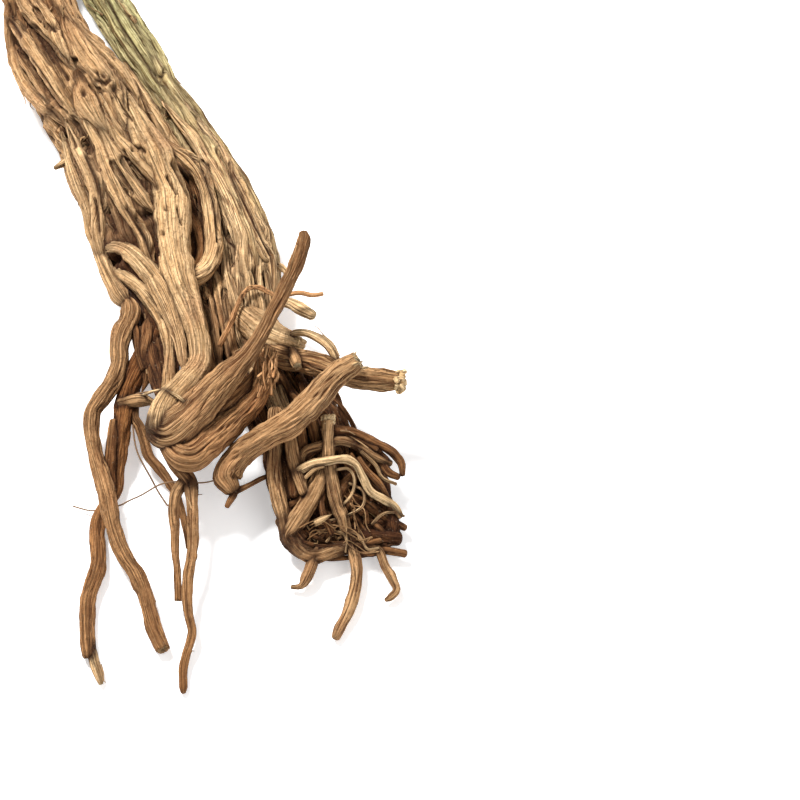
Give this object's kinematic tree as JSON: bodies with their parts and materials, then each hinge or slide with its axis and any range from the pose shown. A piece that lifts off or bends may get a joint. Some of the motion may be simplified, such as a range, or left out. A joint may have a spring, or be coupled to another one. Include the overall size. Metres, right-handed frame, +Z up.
{
  "type": "dried bitter melon root",
  "caption": "Dried woody root with two ropy stems grown together in one crown, a turned-back taproot and long thin rootlets.",
  "frame": {"origin": "bottom centre of the root's box, on the surface it lies on", "axes": "+Z up, +Y along the stems towards their cut ends, -Y towards the tips of the rootlets, +X to the right of someone who stands at the rootlets"},
  "size_m": [0.1134, 0.2374, 0.0329],
  "materials": {
    "dried_bark": "dry, matt, deeply wrinkled along the fibre"
  },
  "bodies": {
    "root": {"dried_root": "dried_bark"}
  },
  "joints": []
}
